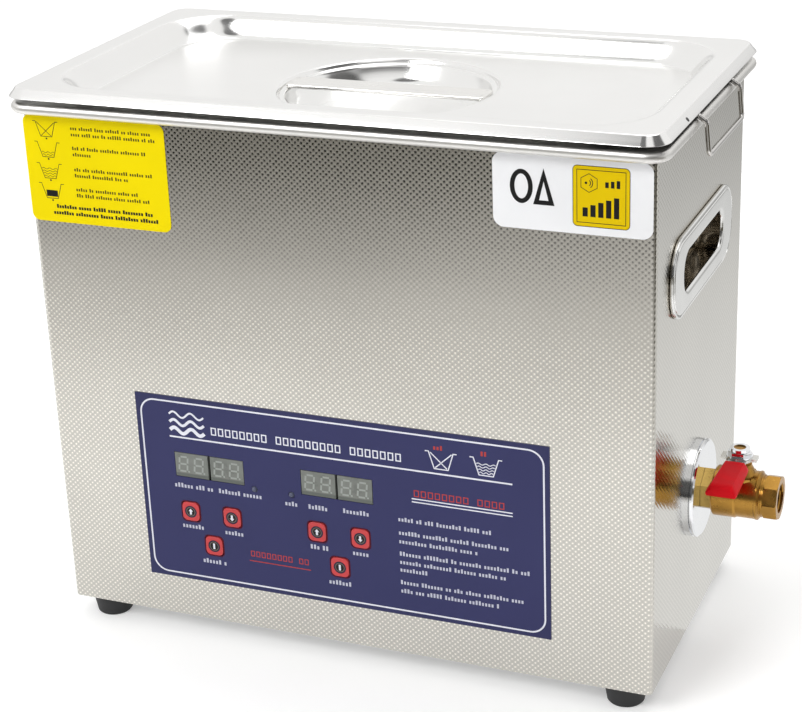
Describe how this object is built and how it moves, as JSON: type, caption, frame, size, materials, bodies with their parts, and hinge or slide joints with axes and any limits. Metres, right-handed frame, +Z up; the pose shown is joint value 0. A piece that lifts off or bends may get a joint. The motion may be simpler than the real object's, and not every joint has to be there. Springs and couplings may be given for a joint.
{
  "type": "ultrasonic cleaner",
  "caption": "Bench-top ultrasonic cleaner: steel casing, lift-off lid, hanging basket, key panel, side grips and a lever drain valve.",
  "frame": {"origin": "centre of the casing's footprint, on the surface the four feet stand on", "axes": "+X towards the drain valve, -Y towards the control panel, +Z up"},
  "size_m": [0.3739, 0.183, 0.2937],
  "materials": {
    "casing_steel": "stainless sheet embossed with a fine linen pattern",
    "base_steel": "plain satin sheet",
    "tank_steel": "deep-drawn satin stainless with a polished rolled rim",
    "lid_steel": "satin stainless pressing with a polished skirt",
    "handle_steel": "satin stainless bar",
    "basket_steel": "perforated stainless sheet",
    "wire_steel": "bright drawn wire",
    "grip_steel": "polished stainless pressing",
    "fitting_steel": "turned stainless",
    "screw_steel": "zinc plated",
    "chrome": "bright chrome",
    "brass": "machined cast brass",
    "brass_dark": "tarnished brass",
    "seat_plastic": "white fluoropolymer",
    "sleeve_red": "dipped red vinyl",
    "overlay_navy": "printed polyester film",
    "key_red": "red key cap with a printed ring",
    "display_face": "grey-green display window",
    "lamp_lens": "clear lens",
    "circuit_board": "green solder mask",
    "switch_black": "moulded black plastic",
    "horn_aluminium": "turned aluminium",
    "piezo_ceramic": "silvered piezo ceramic",
    "copper_sheet": "copper sheet",
    "dark_steel": "black-oxide steel",
    "heater_silicone": "silicone pad",
    "sink_aluminium": "extruded aluminium",
    "winding": "varnished copper winding",
    "capacitor_sleeve": "blue sleeve",
    "fan_plastic": "glass-filled black plastic",
    "rocker_red": "red rocker",
    "label_film": "printed vinyl film",
    "cable_black": "black cable sheath",
    "rubber_black": "black rubber",
    "seal_grey": "silicone seal"
  },
  "bodies": {
    "root": {"casing": "casing_steel", "base_plate": "base_steel", "base_screws": "screw_steel", "feet": "rubber_black", "foot_screws": "screw_steel", "tank": "tank_steel", "tank_seal": "seal_grey", "side_grip_left": "grip_steel", "side_grip_right": "grip_steel", "drain_outlet": "fitting_steel", "drain_gasket": "seal_grey", "pipe_locknuts": "brass", "drain_elbow": "brass", "escutcheon": "chrome", "hex_nipple": "brass_dark", "valve_body": "brass", "valve_end_cap": "brass", "valve_seats": "seat_plastic", "gland_nut": "brass", "panel_overlay": "overlay_navy", "display_modules": "display_face", "indicator_leds": "lamp_lens", "control_board": "circuit_board", "board_standoffs": "brass", "tact_switches": "switch_black", "transducer_horns": "horn_aluminium", "piezo_rings": "piezo_ceramic", "transducer_electrodes": "copper_sheet", "transducer_back_masses": "dark_steel", "transducer_bolts": "dark_steel", "heater_pads": "heater_silicone", "temperature_sensor": "fitting_steel", "generator_board": "circuit_board", "heat_sink": "sink_aluminium", "output_transformer": "winding", "capacitors": "capacitor_sleeve", "fan_frame": "fan_plastic", "fan_guard": "chrome", "power_inlet": "switch_black", "switch_housing": "switch_black", "front_labels": "label_film", "wiring_harness": "cable_black"},
    "basket": {"basket": "basket_steel", "basket_hook_left": "wire_steel", "basket_hook_right": "wire_steel"},
    "lid": {"lid": "lid_steel", "lid_handle": "handle_steel"},
    "valve_handle": {"valve_ball": "chrome", "valve_stem": "brass", "valve_lever": "fitting_steel", "lever_sleeve": "sleeve_red", "lever_nut": "chrome"},
    "fan_rotor": {"fan_rotor": "fan_plastic"},
    "rocker": {"switch_rocker": "rocker_red"},
    "key_temp_up": {"key_temp_up": "key_red"},
    "key_temp_down": {"key_temp_down": "key_red"},
    "key_heat": {"key_heat": "key_red"},
    "key_time_up": {"key_time_up": "key_red"},
    "key_time_down": {"key_time_down": "key_red"},
    "key_wash": {"key_wash": "key_red"}
  },
  "joints": [
    {"name": "basket_lift", "type": "slide", "parent": "root", "child": "basket", "axis": [0, 0, 1], "range_m": [0, 0.16]},
    {"name": "lid_lift", "type": "slide", "parent": "basket", "child": "lid", "axis": [0, 0, 1], "range_m": [0, 0.2]},
    {"name": "valve_turn", "type": "hinge", "parent": "root", "child": "valve_handle", "pos_m": [0.1813, 0, 0.105], "axis": [0, 0, 1], "range_deg": [0, 90]},
    {"name": "fan_spin", "type": "hinge", "parent": "root", "child": "fan_rotor", "pos_m": [-0.1, 0.074, 0.072], "axis": [0, 1, 0], "continuous": true},
    {"name": "mains_rocker", "type": "hinge", "parent": "root", "child": "rocker", "pos_m": [0.064, 0.081, 0.052], "axis": [1, 0, 0], "range_deg": [0, 18]},
    {"name": "key_temp_up_press", "type": "slide", "parent": "root", "child": "key_temp_up", "axis": [0, 1, 0], "range_m": [0, 0.0005], "stiffness_N_per_m": 1800, "springref_m": -0.0004},
    {"name": "key_temp_down_press", "type": "slide", "parent": "root", "child": "key_temp_down", "axis": [0, 1, 0], "range_m": [0, 0.0005], "stiffness_N_per_m": 1800, "springref_m": -0.0004},
    {"name": "key_heat_press", "type": "slide", "parent": "root", "child": "key_heat", "axis": [0, 1, 0], "range_m": [0, 0.0005], "stiffness_N_per_m": 1800, "springref_m": -0.0004},
    {"name": "key_time_up_press", "type": "slide", "parent": "root", "child": "key_time_up", "axis": [0, 1, 0], "range_m": [0, 0.0005], "stiffness_N_per_m": 1800, "springref_m": -0.0004},
    {"name": "key_time_down_press", "type": "slide", "parent": "root", "child": "key_time_down", "axis": [0, 1, 0], "range_m": [0, 0.0005], "stiffness_N_per_m": 1800, "springref_m": -0.0004},
    {"name": "key_wash_press", "type": "slide", "parent": "root", "child": "key_wash", "axis": [0, 1, 0], "range_m": [0, 0.0005], "stiffness_N_per_m": 1800, "springref_m": -0.0004}
  ]
}
